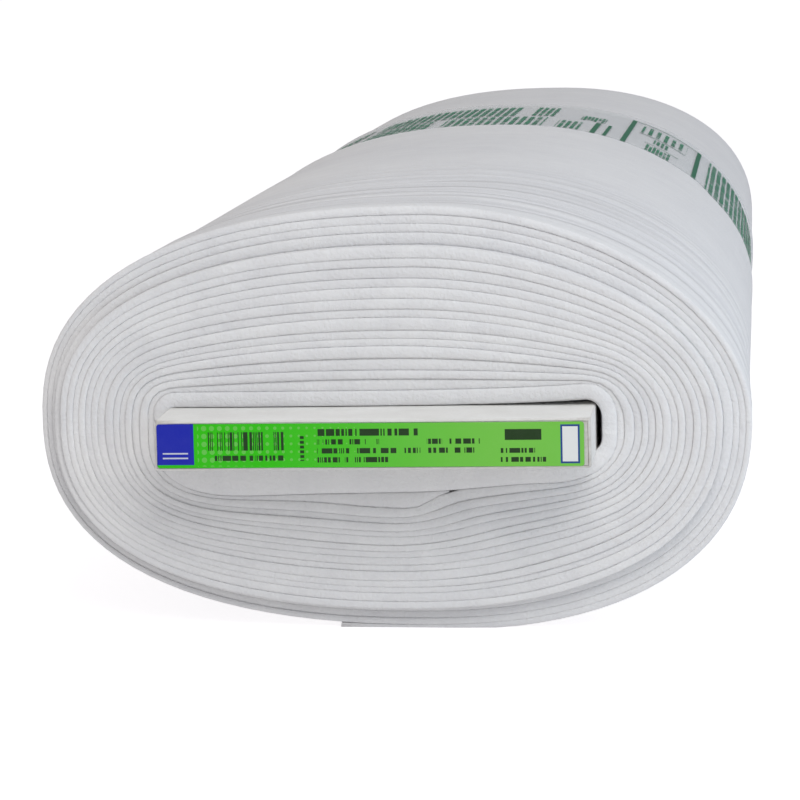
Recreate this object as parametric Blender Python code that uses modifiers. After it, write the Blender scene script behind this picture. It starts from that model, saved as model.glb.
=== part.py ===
"""Roll of fusible fleece, wound flat on a cardboard bolt board.

One long sheet of soft white fleece is wound round a flat cardboard board, so the
roll is a flattened oval. It lies on one broad side. A paper label is glued to the
front end of the board, and a printed film goes round the roll near its far end.

The frame is in metres. Y runs along the roll with the labelled end at -Y, X is the
width of the oval, Z is up and the floor is z = 0. The origin is the middle of the
bottom of the whole piece.
"""

import math

import bmesh
import bpy
from mathutils import Vector

# The fleece. Its width across the bolt is the length of the roll.
FLEECE_WIDTH = 1.143
TURN_THICKNESS = 0.0029

# The oval of the roll, as four quarters about one centre.
CENTRE_X = 0.012
CENTRE_Z = 0.102
REACH_LEFT = 0.18215
REACH_RIGHT = 0.15675
REACH_UP = 0.102
REACH_DOWN = 0.1022

# How square each quarter of the oval is: 2 is an ellipse, more is fuller.
FULLNESS_LOWER_LEFT = 2.4
FULLNESS_UPPER_LEFT = 2.35
FULLNESS_LOWER_RIGHT = 2.3
FULLNESS_UPPER_RIGHT_FRONT = 1.9
FULLNESS_UPPER_RIGHT_BACK = 2.2

# Points round one turn, and where the loose outer end of the cloth lies below.
STEP_ANGLE = math.radians(3.75)
LOOSE_END_ANGLE = math.radians(-99.375)

# The outer turns stand back at the front end and stand out at the back end.
SHOULDER_WIDTH = 0.0125
SHOULDER_DEPTH = 0.009
EDGE_ROUNDING = 0.003

# The cardboard board inside, longer than the cloth is wide.
BOARD_WIDTH = 0.2032
BOARD_THICKNESS = 0.0232
BOARD_X = -0.007
BOARD_Z = 0.0970
BOARD_TILT = math.radians(0.45)
BOARD_ROUNDING = 0.0015
BOARD_OVERHANG = 0.045

# The first turn hugs the board on the left and stands off it on the right.
SLOT_GAP = 0.0004
SLOT_GAP_LEFT = 0.0012
SLOT_GAP_RIGHT = 0.0048
SLOT_LIFT_RIGHT = 0.0038
SLOT_CORNER = 0.003
SLOT_CORNER_RIGHT = 0.006
SIDE_SHARE = 4 / 24
CORNER_SHARE = 4 / 24

# The paper label on the front end of the board.
LABEL_WIDTH = 0.1985
LABEL_HEIGHT = 0.0206
LABEL_THICKNESS = 0.0004
LABEL_CORNER = 0.0012
LABEL_SHIFT = -0.0009
LABEL_GAP = 0.0003

# The printed film round the roll, lying in the slight waist that it draws in.
BAND_FRONT = 0.060
BAND_BACK = 0.300
BAND_THICKNESS = 0.001
BAND_GAP = 0.0003
GROOVE_WALL = 0.0002
GROOVE_DEPTH = BAND_THICKNESS + 2 * BAND_GAP

HALF_LENGTH = FLEECE_WIDTH / 2 + BOARD_OVERHANG
FRONT_FACE = -FLEECE_WIDTH / 2
BACK_FACE = FLEECE_WIDTH / 2

# The outer surface along the roll: how far behind the front face each station is,
# and how far the cloth lies inside the full oval there.
SURFACE_STATIONS = (
    dict(behind=0.016, inset=0.0000),
    dict(behind=0.040, inset=0.0000),
    dict(behind=0.110, inset=0.0012),
    dict(behind=0.260, inset=0.0010),
    dict(behind=0.430, inset=0.0004),
    dict(behind=0.600, inset=0.0002),
)
FAR_STATIONS = (
    dict(behind=0.905, inset=0.0000),
    dict(behind=1.000, inset=0.0004),
    dict(behind=1.090, inset=0.0000),
)


def material(name, colour, roughness):
    """A plain surface of one colour."""
    made = bpy.data.materials.new(name)
    made.use_nodes = True
    surface = made.node_tree.nodes["Principled BSDF"]
    surface.inputs["Base Color"].default_value = (*colour, 1)
    surface.inputs["Roughness"].default_value = roughness
    surface.inputs["Metallic"].default_value = 0
    return made


def add_object(name, mesh, collection, surface):
    """Put a finished mesh into the scene as one piece."""
    piece = bpy.data.objects.new(name, mesh)
    mesh.materials.append(surface)
    collection.objects.link(piece)
    return piece


def turn_angles():
    """The angles round one turn, from the loose end clockwise back to it."""
    first = math.floor(LOOSE_END_ANGLE / STEP_ANGLE)
    count = round(math.tau / STEP_ANGLE)
    between = [(first - i) * STEP_ANGLE for i in range(count)]
    return [LOOSE_END_ANGLE, *between, LOOSE_END_ANGLE - math.tau]


def signed_power(value, power):
    return math.copysign(abs(value) ** power, value)


def oval_point(angle, y, inset, lift=0.0):
    """A point of the wound surface; lift is the lowest height it may have."""
    across = math.cos(angle)
    up = math.sin(angle)
    along = (y - FRONT_FACE) / FLEECE_WIDTH
    if across < 0:
        fullness = FULLNESS_UPPER_LEFT if up > 0 else FULLNESS_LOWER_LEFT
    elif up < 0:
        fullness = FULLNESS_LOWER_RIGHT
    else:
        change = FULLNESS_UPPER_RIGHT_BACK - FULLNESS_UPPER_RIGHT_FRONT
        fullness = FULLNESS_UPPER_RIGHT_FRONT + change * min(max(along, 0), 1)
    turned = (LOOSE_END_ANGLE - angle) / math.tau
    inset += TURN_THICKNESS * (1 - turned)
    reach_across = (REACH_LEFT if across < 0 else REACH_RIGHT) + TURN_THICKNESS / 2 - inset
    reach_up = (REACH_DOWN if up < 0 else REACH_UP) + TURN_THICKNESS / 2 - inset
    x = CENTRE_X + reach_across * signed_power(across, 2 / fullness)
    z = CENTRE_Z + reach_up * signed_power(up, 2 / fullness)
    return Vector((x, y, max(z, lift)))


def tilted(x, z):
    """Turn a point of the board's cross-section by the board's tilt."""
    along = x - BOARD_X
    above = z - BOARD_Z
    turned_x = BOARD_X + along * math.cos(BOARD_TILT) - above * math.sin(BOARD_TILT)
    turned_z = BOARD_Z + along * math.sin(BOARD_TILT) + above * math.cos(BOARD_TILT)
    return turned_x, turned_z


def slot_point(angle, y):
    """A point of the first turn round the board, for the same angle of the oval."""
    across = 1 if math.cos(angle) > 0 else -1
    up = 1 if math.sin(angle) > 0 else -1
    share = math.atan2(abs(math.sin(angle)), abs(math.cos(angle))) / (math.pi / 2)
    corner = SLOT_CORNER_RIGHT if across > 0 else SLOT_CORNER
    half_width = BOARD_WIDTH / 2 + (SLOT_GAP_RIGHT if across > 0 else SLOT_GAP_LEFT)
    half_height = BOARD_THICKNESS / 2 + SLOT_GAP
    if share < SIDE_SHARE:
        x = half_width
        z = (half_height - corner) * share / SIDE_SHARE
    elif share < SIDE_SHARE + CORNER_SHARE:
        bend = (share - SIDE_SHARE) / CORNER_SHARE * math.pi / 2
        x = half_width - corner + corner * math.cos(bend)
        z = half_height - corner + corner * math.sin(bend)
    else:
        left = (1 - share) / (1 - SIDE_SHARE - CORNER_SHARE)
        x = (half_width - corner) * left
        z = half_height
    x, z = tilted(BOARD_X + across * x, BOARD_Z + up * z)
    lift = SLOT_LIFT_RIGHT * (x - BOARD_X + BOARD_WIDTH / 2) / BOARD_WIDTH
    if up > 0:
        z += max(lift, 0) * min((z - BOARD_Z) / half_height, 1)
    return Vector((x, y, z))


def oval_ring(y, inset, lift=0.0):
    return [oval_point(angle, y, inset, lift) for angle in turn_angles()]


def slot_ring(y):
    return [slot_point(angle, y) for angle in turn_angles()]


def roll_rings():
    """The rings of the wound body, front face outwards, along it and back inside."""
    rings = [
        slot_ring(FRONT_FACE),
        oval_ring(FRONT_FACE, SHOULDER_WIDTH + EDGE_ROUNDING),
        oval_ring(FRONT_FACE + EDGE_ROUNDING, SHOULDER_WIDTH),
        oval_ring(FRONT_FACE + SHOULDER_DEPTH, SHOULDER_WIDTH - EDGE_ROUNDING / 2),
        oval_ring(FRONT_FACE + SHOULDER_DEPTH, EDGE_ROUNDING),
        oval_ring(FRONT_FACE + SHOULDER_DEPTH + EDGE_ROUNDING, EDGE_ROUNDING / 5),
    ]
    rings += [oval_ring(FRONT_FACE + row["behind"], row["inset"]) for row in SURFACE_STATIONS]
    rings += [
        oval_ring(BAND_FRONT - GROOVE_WALL, 0),
        oval_ring(BAND_FRONT, GROOVE_DEPTH, GROOVE_DEPTH),
        oval_ring(BAND_BACK, GROOVE_DEPTH, GROOVE_DEPTH),
        oval_ring(BAND_BACK + GROOVE_WALL, 0),
    ]
    rings += [oval_ring(FRONT_FACE + row["behind"], row["inset"]) for row in FAR_STATIONS]
    rings += [
        oval_ring(BACK_FACE + SHOULDER_DEPTH - EDGE_ROUNDING, EDGE_ROUNDING / 5),
        oval_ring(BACK_FACE + SHOULDER_DEPTH, EDGE_ROUNDING),
        oval_ring(BACK_FACE + SHOULDER_DEPTH, SHOULDER_WIDTH - EDGE_ROUNDING),
        oval_ring(BACK_FACE, SHOULDER_WIDTH + EDGE_ROUNDING / 2),
        slot_ring(BACK_FACE),
        slot_ring(0),
    ]
    return rings


def loft_round(rings):
    """Join closed rings one to the next, and the last to the first."""
    shape = bmesh.new()
    rows = [[shape.verts.new(point) for point in ring] for ring in rings]
    for row, next_row in zip(rows, rows[1:] + rows[:1]):
        for i in range(len(row)):
            j = (i + 1) % len(row)
            shape.faces.new((row[i], row[j], next_row[j], next_row[i]))
    return shape


def finish_mesh(name, shape, smooth_angle):
    bmesh.ops.recalc_face_normals(shape, faces=shape.faces)
    mesh = bpy.data.meshes.new(name)
    shape.to_mesh(mesh)
    shape.free()
    mesh.shade_smooth()
    mesh.set_sharp_from_angle(angle=math.radians(smooth_angle))
    return mesh


def make_fleece_roll(collection, surface):
    """The wound cloth: one body round the slot that the board fills."""
    mesh = finish_mesh("fleece_roll", loft_round(roll_rings()), 40)
    add_object("fleece_roll", mesh, collection, surface)


def make_printed_band(collection, surface):
    """The film: a thin strip that follows the turn but for its loose end."""
    angles = turn_angles()[1:-1]
    depths = (
        dict(y=BAND_FRONT + BAND_GAP, inset=BAND_GAP),
        dict(y=BAND_BACK - BAND_GAP, inset=BAND_GAP),
        dict(y=BAND_BACK - BAND_GAP, inset=BAND_GAP + BAND_THICKNESS),
        dict(y=BAND_FRONT + BAND_GAP, inset=BAND_GAP + BAND_THICKNESS),
    )
    shape = bmesh.new()
    rows = [
        [shape.verts.new(oval_point(angle, d["y"], d["inset"], d["inset"])) for angle in angles]
        for d in depths
    ]
    for row, next_row in zip(rows, rows[1:] + rows[:1]):
        for i in range(len(row) - 1):
            shape.faces.new((row[i], row[i + 1], next_row[i + 1], next_row[i]))
    for end in (0, -1):
        shape.faces.new([row[end] for row in rows])
    mesh = finish_mesh("printed_band", shape, 40)
    add_object("printed_band", mesh, collection, surface)


def make_bolt_board(collection, surface):
    """The cardboard board: a long flat box with softly folded edges."""
    front = -HALF_LENGTH + LABEL_THICKNESS + LABEL_GAP
    bpy.ops.mesh.primitive_cube_add(size=1)
    board = bpy.context.object
    board.name = "bolt_board"
    size = Vector((BOARD_WIDTH, HALF_LENGTH - front, BOARD_THICKNESS))
    for vertex in board.data.vertices:
        vertex.co = vertex.co * size
    board.location = (BOARD_X, (HALF_LENGTH + front) / 2, BOARD_Z)
    board.rotation_euler.y = -BOARD_TILT
    edge = board.modifiers.new("folded_edges", "BEVEL")
    edge.width = BOARD_ROUNDING
    edge.segments = 3
    board.data.materials.append(surface)
    for home in board.users_collection:
        home.objects.unlink(board)
    collection.objects.link(board)


def label_outline():
    """The label's corners, rounded, in its own flat plane."""
    points = []
    for corner in range(4):
        right = 1 if corner in (0, 3) else -1
        up = 1 if corner in (0, 1) else -1
        middle = Vector((
            right * (LABEL_WIDTH / 2 - LABEL_CORNER),
            up * (LABEL_HEIGHT / 2 - LABEL_CORNER),
            0,
        ))
        for part in range(4):
            bend = math.radians(90 * corner + 30 * part)
            points.append(middle + LABEL_CORNER * Vector((math.cos(bend), math.sin(bend), 0)))
    return points


def make_end_label(collection, surface):
    """The paper label, glued to the front end of the board."""
    outline = label_outline()
    flat = bpy.data.curves.new("end_label", "CURVE")
    flat.dimensions = "2D"
    flat.fill_mode = "BOTH"
    flat.extrude = LABEL_THICKNESS / 2
    edge = flat.splines.new("POLY")
    edge.points.add(len(outline) - 1)
    for point, place in zip(edge.points, outline):
        point.co = (*place, 1)
    edge.use_cyclic_u = True
    label = add_object("end_label", flat, collection, surface)
    x, z = tilted(BOARD_X + LABEL_SHIFT, BOARD_Z)
    label.location = (x, -HALF_LENGTH + LABEL_THICKNESS / 2, z)
    label.rotation_euler = (math.pi / 2, -BOARD_TILT, 0)


def main():
    for old in list(bpy.data.objects):
        bpy.data.objects.remove(old, do_unlink=True)
    collection = bpy.data.collections.new("fusible_fleece_roll")
    bpy.context.scene.collection.children.link(collection)
    make_fleece_roll(collection, material("fleece", (0.80, 0.81, 0.82), 0.95))
    make_bolt_board(collection, material("white_cardboard", (0.82, 0.81, 0.79), 0.75))
    make_end_label(collection, material("green_paper", (0.07, 0.34, 0.03), 0.55))
    make_printed_band(collection, material("printed_film", (0.32, 0.52, 0.45), 0.35))


main()
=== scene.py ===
"""Roll of fusible fleece on its bolt board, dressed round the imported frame.

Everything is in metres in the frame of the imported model: Y runs along the roll with
the labelled end at -Y, Z is up and the roll rests on z = 0.
"""

import math
from bisect import bisect_right

import bmesh
import bpy
from mathutils import Matrix, Vector, noise


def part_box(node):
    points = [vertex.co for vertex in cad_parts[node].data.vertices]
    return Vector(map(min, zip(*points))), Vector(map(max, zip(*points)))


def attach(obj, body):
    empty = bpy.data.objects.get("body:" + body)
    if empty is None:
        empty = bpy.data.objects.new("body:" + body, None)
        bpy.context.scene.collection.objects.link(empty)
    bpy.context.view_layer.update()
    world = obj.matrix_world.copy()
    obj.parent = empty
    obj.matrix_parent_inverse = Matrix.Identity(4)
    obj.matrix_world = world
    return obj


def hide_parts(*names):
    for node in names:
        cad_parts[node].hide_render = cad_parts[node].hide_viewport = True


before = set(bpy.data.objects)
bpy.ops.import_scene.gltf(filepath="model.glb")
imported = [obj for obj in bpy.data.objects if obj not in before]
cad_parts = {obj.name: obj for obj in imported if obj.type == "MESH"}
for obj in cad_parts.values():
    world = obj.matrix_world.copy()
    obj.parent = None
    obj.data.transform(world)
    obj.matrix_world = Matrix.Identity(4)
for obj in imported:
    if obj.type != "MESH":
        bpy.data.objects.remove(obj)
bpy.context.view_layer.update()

# The bolt board: a long flat carton of white cardboard, folded from one sheet, with a
# tucked flap at each end. It stands 45 mm out of the roll at both ends, so the roll can
# be carried and set on a shelf, and its corners are knocked a little.
BOARD_WIDTH = 0.2032
BOARD_THICKNESS = 0.0232
BOARD_X = -0.007
BOARD_Z = 0.0970
BOARD_TILT = math.radians(0.45)
BOARD_UNEVEN = dict(height=0.00022, waves=22)
UNEVEN_END = 0.060
END_CUTS = 10
CUTS_EACH_SIDE = 7
FOLD_RADIUS = 0.0009
FLAP_RIM = 0.00015
FLAP_SEAM = 0.00025
FLAP_DEPTH = 0.0006
FOLDS_WORN = 0.45
RIM_WORN = 0.4
CARD_WHITE = (0.83, 0.825, 0.80)
CARD_SHADE = (0.74, 0.73, 0.70)
CARD_WORN = (0.50, 0.47, 0.43)

# The knocked corners: the side, up or down and the end where each lies, how deep it is
# knocked in and how far that reaches.
KNOCKS = (
    (-1, 1, -1, 0.00088, 0.0060),
    (1, 1, -1, 0.000605, 0.0050),
    (1, -1, -1, 0.00033, 0.0040),
    (-1, -1, 1, 0.00066, 0.0050),
    (1, 1, 1, 0.00044, 0.0050),
)
KNOCKED_HEIGHT = 0.7
KNOCK_WORN = 1.6


def make_mesh(name, shape):
    """Turn a modelled shape into a smooth mesh."""
    mesh = bpy.data.meshes.new(name)
    shape.to_mesh(mesh)
    shape.free()
    mesh.shade_smooth()
    return mesh


def set_object(name, mesh, finish):
    """Put a finished mesh into the scene as one piece with its finish."""
    piece = bpy.data.objects.new(name, mesh)
    mesh.materials.append(finish)
    bpy.context.scene.collection.objects.link(piece)
    return piece


def new_finish(name, roughness):
    """A material, its node tree and its surface shader."""
    finish = bpy.data.materials.new(name)
    finish.use_nodes = True
    surface = finish.node_tree.nodes["Principled BSDF"]
    surface.inputs["Roughness"].default_value = roughness
    return finish, finish.node_tree, surface


def add_node(tree, kind, sockets, **settings):
    """Add a shader node: each socket takes a value, or the output that feeds it."""
    made = tree.nodes.new(kind)
    for name, value in settings.items():
        setattr(made, name, value)
    for socket, value in sockets.items():
        if isinstance(value, bpy.types.NodeSocket):
            tree.links.new(value, made.inputs[socket])
        else:
            made.inputs[socket].default_value = value
    return made


def calculate(tree, operation, first, second=0.0):
    """The result of one sum: each number is a value or an output."""
    sockets = {0: first, 1: second}
    return add_node(tree, "ShaderNodeMath", sockets, operation=operation).outputs[0]


def plus(tree, first, second):
    return calculate(tree, "ADD", first, second)


def minus(tree, first, second):
    return calculate(tree, "SUBTRACT", first, second)


def times(tree, first, second):
    return calculate(tree, "MULTIPLY", first, second)


def noise_texture(tree, place, scale, detail, **more):
    """The value of a noise texture; more sockets are given by name."""
    sockets = {"Vector": place, "Scale": scale, "Detail": detail, **more}
    return add_node(tree, "ShaderNodeTexNoise", sockets).outputs[0]


def object_place(tree):
    return add_node(tree, "ShaderNodeTexCoord", {}).outputs["Object"]


def blend_colours(tree, mask, low, high):
    """The low colour where the mask is 0 and the high one where it is 1."""
    colours = [(*colour, 1) if isinstance(colour, tuple) else colour for colour in (low, high)]
    sockets = {0: mask, 6: colours[0], 7: colours[1]}
    return add_node(tree, "ShaderNodeMix", sockets, data_type="RGBA").outputs[2]


def new_group(name, inputs, outputs):
    """An empty node group with its named sockets."""
    group = bpy.data.node_groups.new(name, "ShaderNodeTree")
    for label in inputs:
        kind = "NodeSocketVector" if label == "Place" else "NodeSocketFloat"
        group.interface.new_socket(label, in_out="INPUT", socket_type=kind)
    for label in outputs:
        group.interface.new_socket(label, in_out="OUTPUT", socket_type="NodeSocketFloat")
    return group, group.nodes.new("NodeGroupInput").outputs, group.nodes.new("NodeGroupOutput")


def use_group(tree, group, **sockets):
    return add_node(tree, "ShaderNodeGroup", sockets, node_tree=group).outputs


def make_mottle():
    """Uneven tone and fine grain of fibres, for everything made of fibres here."""
    group, given, result = new_group("fibre_mottle", ("Place", "Scale"), ("Shade", "Grain"))
    cloud = noise_texture(group, given["Place"], given["Scale"], 3.0)
    finer = times(group, given["Scale"], 14.0)
    grain = noise_texture(group, given["Place"], finer, 2.0, Roughness=0.6)
    both = plus(group, times(group, cloud, 0.7), times(group, grain, 0.3))
    stretched = times(group, minus(group, both, 0.32), 2.8)
    group.links.new(stretched, result.inputs["Shade"])
    group.links.new(grain, result.inputs["Grain"])
    return group


def raise_grain(tree, surface, height, strength, distance):
    sockets = {"Height": height, "Strength": strength, "Distance": distance}
    bump = add_node(tree, "ShaderNodeBump", sockets)
    tree.links.new(bump.outputs[0], surface.inputs["Normal"])


def cut_across(shape, place, way):
    """Cut a shape's faces by a plane through a place, square to a direction."""
    parts = shape.verts[:] + shape.edges[:] + shape.faces[:]
    bmesh.ops.bisect_plane(shape, geom=parts, plane_co=place, plane_no=way)


def tilted(x, z):
    """Turn a point of the board's cross-section by the board's tilt."""
    along = x - BOARD_X
    above = z - BOARD_Z
    turned_x = BOARD_X + along * math.cos(BOARD_TILT) - above * math.sin(BOARD_TILT)
    turned_z = BOARD_Z + along * math.sin(BOARD_TILT) + above * math.cos(BOARD_TILT)
    return turned_x, turned_z


board_low, board_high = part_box("bolt_board")
board_length = board_high[1] - board_low[1]
board = bmesh.new()
bmesh.ops.create_cube(board, size=1)
bmesh.ops.scale(board, vec=(BOARD_WIDTH, board_length, BOARD_THICKNESS), verts=board.verts)
bmesh.ops.bevel(board, geom=board.edges[:], offset=FOLD_RADIUS, segments=3,
                affect="EDGES", profile=0.5, material=-1)
for depth, seam in ((0, FLAP_RIM), (-FLAP_DEPTH, FLAP_SEAM), (FLAP_DEPTH, FLAP_SEAM)):
    ends = [face for face in board.faces if abs(face.normal.y) > 0.99]
    flaps = [face for face in ends if face.calc_area() > BOARD_WIDTH * BOARD_THICKNESS / 2]
    bmesh.ops.inset_individual(board, faces=flaps, thickness=seam, depth=depth)
for end in (-1, 1):
    for i in range(1, END_CUTS + 1):
        cut_across(board, (0, end * (board_length / 2 - UNEVEN_END * i / END_CUTS), 0), (0, 1, 0))
for i in range(-CUTS_EACH_SIDE, CUTS_EACH_SIDE + 1):
    cut_across(board, (i * BOARD_WIDTH / 2 / (CUTS_EACH_SIDE + 1), 0, 0), (1, 0, 0))
worn = board.verts.layers.float.new("worn")
for corner in board.verts:
    from_side = BOARD_WIDTH / 2 - abs(corner.co.x)
    from_top = BOARD_THICKNESS / 2 - abs(corner.co.z)
    from_end = board_length / 2 - abs(corner.co.y)
    edges_near = sum(away < FOLD_RADIUS * 0.6 for away in (from_side, from_top, from_end))
    on_rim = from_end < FLAP_DEPTH / 2 and min(from_side, from_top) > FOLD_RADIUS
    corner[worn] = FOLDS_WORN * (edges_near >= 2) + RIM_WORN * on_rim
    for side, up, end, depth, reach in KNOCKS:
        tip = Vector((side * BOARD_WIDTH, end * board_length, up * BOARD_THICKNESS)) / 2
        near = 1 - min((corner.co - tip).length / reach, 1)
        corner.co -= Vector((side, end, up * KNOCKED_HEIGHT)) * (depth * near)
        corner[worn] = max(corner[worn], min(near * KNOCK_WORN, 1))
    corner.co.z += BOARD_UNEVEN["height"] * noise.noise(corner.co * BOARD_UNEVEN["waves"])
board_middle = (BOARD_X, (board_low[1] + board_high[1]) / 2, BOARD_Z)
bmesh.ops.rotate(board, verts=board.verts, cent=(0, 0, 0), matrix=Matrix.Rotation(-BOARD_TILT, 3, "Y"))
bmesh.ops.translate(board, verts=board.verts, vec=board_middle)
bmesh.ops.recalc_face_normals(board, faces=board.faces)
board_mesh = make_mesh("cardboard_bolt", board)
board_mesh.set_sharp_from_angle(angle=math.radians(32))

mottle = make_mottle()
card_finish, tree, surface = new_finish("white_cardboard", 0.62)
place = object_place(tree)
fibres = use_group(tree, mottle, Place=place, Scale=38.0)
scuffs = noise_texture(tree, place, 420.0, 4.0)
rubbed = add_node(tree, "ShaderNodeAttribute", {}, attribute_name="worn").outputs["Fac"]
bare = times(tree, rubbed, times(tree, scuffs, 1.5))
card = blend_colours(tree, fibres["Shade"], CARD_SHADE, CARD_WHITE)
tree.links.new(blend_colours(tree, bare, card, CARD_WORN), surface.inputs["Base Color"])
raise_grain(tree, surface, fibres["Grain"], 0.12, 0.0004)
cardboard_bolt = set_object("cardboard_bolt", board_mesh, card_finish)
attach(cardboard_bolt, "root")
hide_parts("bolt_board")

# The end label: green paper glued over the front flap of the board, printed with a plain
# blue panel, pale dots, bars, rows of dashes and an empty box.
LABEL_WIDTH = 0.1985
LABEL_HEIGHT = 0.0206
LABEL_SHIFT = -0.0009
MILLIMETRE = 0.001
LABEL_GREEN = (0.032, 0.540, 0.003)
LABEL_LIGHT_GREEN = (0.180, 0.560, 0.070)
LABEL_PALE = (0.30, 0.60, 0.20)
LABEL_BLUE = (0.012, 0.022, 0.40)
LABEL_INK = (0.012, 0.030, 0.010)
LABEL_WHITE = (0.78, 0.80, 0.78)
LABEL_BOX_INK = (0.02, 0.06, 0.25)
LABEL_SOILED = 0.015

# The print on the label, each part by its left, right, low and high side in millimetres
# from the label's lower left corner.
BLUE_PANEL = (-1.0, 17.4, 1.4, 22.0)
PANEL_STRIPES = ((2.6, 14.6, 4.2, 5.0), (2.6, 14.6, 6.4, 7.2))
DOTTED_PART = (19.0, 96.0, 0.6, 19.8)
BAR_PART = (24.0, 63.0, 8.0, 16.8)
TICK_PART = (67.0, 69.0, 3.0, 15.0)
DARK_BLOCK = (162.0, 179.0, 12.2, 17.4)
BOX_OUTSIDE = (187.6, 196.6, 1.2, 19.4)
BOX_INSIDE = (188.5, 195.7, 2.1, 18.5)
LABEL_ROWS = (
    dict(sides=(75, 122, 14.6, 18.0), dash=6.5, stroke=1.3),
    dict(sides=(75, 104, 10.6, 13.2), dash=5.0, stroke=0.9),
    dict(sides=(126, 151, 10.6, 13.2), dash=4.5, stroke=0.9),
    dict(sides=(75, 148, 6.4, 9.0), dash=5.5, stroke=0.9),
    dict(sides=(75, 108, 2.2, 4.8), dash=7.0, stroke=0.9),
    dict(sides=(27, 60, 3.2, 5.8), dash=2.6, stroke=1.0),
    dict(sides=(160, 181, 2.0, 4.4), dash=4.0, stroke=1.0),
    dict(sides=(160, 176, 6.2, 8.6), dash=3.4, stroke=1.0),
)


def make_patch():
    """A soft-edged rectangle of print."""
    names = ("Place", "Left", "Right", "Low", "High", "Soft")
    group, given, result = new_group("printed_patch", names, ("Mask",))
    across = add_node(group, "ShaderNodeSeparateXYZ", {0: given["Place"]}).outputs
    within = []
    for axis, low, high in ((0, "Left", "Right"), (1, "Low", "High")):
        rise = minus(group, across[axis], given[low])
        fall = minus(group, given[high], across[axis])
        within.append(calculate(group, "MINIMUM", rise, fall))
    inside = calculate(group, "MINIMUM", *within)
    sockets = {0: inside, 1: given["Soft"]}
    mask = add_node(group, "ShaderNodeMath", sockets, operation="DIVIDE", use_clamp=True).outputs[0]
    group.links.new(mask, result.inputs["Mask"])
    return group


def make_dashes():
    """Rows of uneven dashes along X, as print too small to read."""
    names = ("Place", "Pitch", "Fill", "Dash", "Stroke", "Cover", "Seed")
    group, given, result = new_group("printed_dashes", names, ("Mask",))
    across = add_node(group, "ShaderNodeSeparateXYZ", {0: given["Place"]}).outputs
    rows = calculate(group, "DIVIDE", across[1], given["Pitch"])
    row = calculate(group, "FLOOR", rows)
    in_row = calculate(group, "LESS_THAN", calculate(group, "FRACT", rows), given["Fill"])
    pick = plus(group, times(group, row, 3.7), given["Seed"])
    shifted = plus(group, across[0], times(group, pick, 1.3))
    found = in_row
    for length, share in ((given["Dash"], 0.84), (given["Stroke"], given["Cover"])):
        cell = calculate(group, "FLOOR", calculate(group, "DIVIDE", shifted, length))
        spot = add_node(group, "ShaderNodeCombineXYZ", {0: cell, 1: pick, 2: length}).outputs[0]
        chance = add_node(group, "ShaderNodeTexWhiteNoise", {"Vector": spot}).outputs["Value"]
        found = times(group, found, calculate(group, "LESS_THAN", chance, share))
    group.links.new(found, result.inputs["Mask"])
    return group


patch = make_patch()
dashes = make_dashes()


def print_patch(tree, place, sides, soft=0.12):
    """The mask of one printed rectangle: left, right, low and high in millimetres."""
    left, right, low, high = sides
    sockets = dict(Place=place, Left=left, Right=right, Low=low, High=high, Soft=soft)
    return use_group(tree, patch, **sockets)["Mask"]


def print_rows(tree, place, row, cover, seed, pitch=90.0, fill=1.0, soft=0.12):
    """The mask of one block of dashes from a table's row, within its sides."""
    marks = use_group(tree, dashes, Place=place, Pitch=pitch, Fill=fill, Dash=row["dash"] / 3,
                      Stroke=row["stroke"] / 2, Cover=cover, Seed=seed)["Mask"]
    return times(tree, marks, print_patch(tree, place, row["sides"], soft))


def join_masks(tree, masks):
    """One mask that is 1 wherever any of the masks is."""
    joined = masks[0]
    for mask in masks[1:]:
        joined = calculate(tree, "MAXIMUM", joined, mask)
    return joined


def spread(tree, value, start, end, low=0.0, high=1.0, kind="LINEAR"):
    """The value from low to high while it runs from start to end, and held beyond them."""
    sockets = {0: value, 1: start, 2: end, 3: low, 4: high}
    return add_node(tree, "ShaderNodeMapRange", sockets, interpolation_type=kind).outputs[0]


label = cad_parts["end_label"]
label_finish, tree, surface = new_finish("green_paper", 0.42)
corner_x, corner_z = tilted(BOARD_X + LABEL_SHIFT - LABEL_WIDTH / 2, BOARD_Z - LABEL_HEIGHT / 2)
place = object_place(tree)
turned = add_node(tree, "ShaderNodeMapping", {
    "Vector": place,
    "Location": (corner_x, 0, corner_z),
    "Rotation": (0, -BOARD_TILT, 0),
    "Scale": (MILLIMETRE, MILLIMETRE, MILLIMETRE),
}, vector_type="TEXTURE").outputs[0]
sides = add_node(tree, "ShaderNodeSeparateXYZ", {0: turned}).outputs
spot = add_node(tree, "ShaderNodeCombineXYZ", {0: sides[0], 1: sides[2]}).outputs[0]
fade = spread(tree, sides[0], 45.0, 170.0, kind="SMOOTHSTEP")
fibres = use_group(tree, mottle, Place=place, Scale=90.0)
green = blend_colours(tree, fade, LABEL_GREEN, LABEL_LIGHT_GREEN)
dot_sockets = {"Vector": spot, "Scale": 0.27, "Randomness": 0.0}
from_dot = add_node(tree, "ShaderNodeTexVoronoi", dot_sockets).outputs[0]
dot_size = spread(tree, sides[0], 22.0, 96.0, 0.34, 0.06)
in_dot = calculate(tree, "LESS_THAN", from_dot, dot_size)
dots = times(tree, in_dot, print_patch(tree, spot, DOTTED_PART))
colour = blend_colours(tree, times(tree, dots, 0.38), green, LABEL_PALE)
colour = blend_colours(tree, print_patch(tree, spot, BLUE_PANEL), colour, LABEL_BLUE)
for stripe in PANEL_STRIPES:
    mask = times(tree, print_patch(tree, spot, stripe), 0.75)
    colour = blend_colours(tree, mask, colour, LABEL_WHITE)
bars = use_group(tree, dashes, Place=spot, Pitch=60.0, Fill=1.0, Dash=5.0, Stroke=0.42,
                 Cover=0.56, Seed=4.0)["Mask"]
in_tick = calculate(tree, "LESS_THAN", calculate(tree, "FRACT", times(tree, sides[2], 0.45)), 0.62)
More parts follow.
